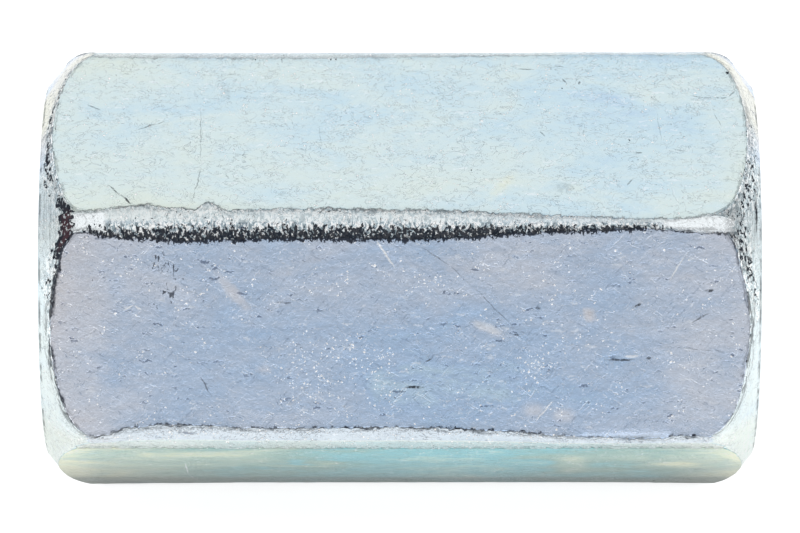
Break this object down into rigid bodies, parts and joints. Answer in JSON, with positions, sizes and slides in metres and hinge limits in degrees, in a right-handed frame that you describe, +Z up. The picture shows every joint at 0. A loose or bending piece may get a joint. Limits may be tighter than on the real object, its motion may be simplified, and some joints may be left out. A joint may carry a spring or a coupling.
{
  "type": "coupling nut",
  "caption": "Long hexagon nut with a through thread, chamfered at both ends, that joins two threaded rods end to end.",
  "frame": {"origin": "on the thread's axis, half way along the nut", "axes": "+X along the thread's axis, +Z up, out of the middle of one flat; the opposite flat is underneath, and the nut rests on it"},
  "size_m": [0.03, 0.0192, 0.017],
  "materials": {
    "zinc_plated_steel": "electroplated zinc with a clear blue passivation, satin"
  },
  "bodies": {
    "root": {"coupling_nut": "zinc_plated_steel"}
  },
  "joints": []
}
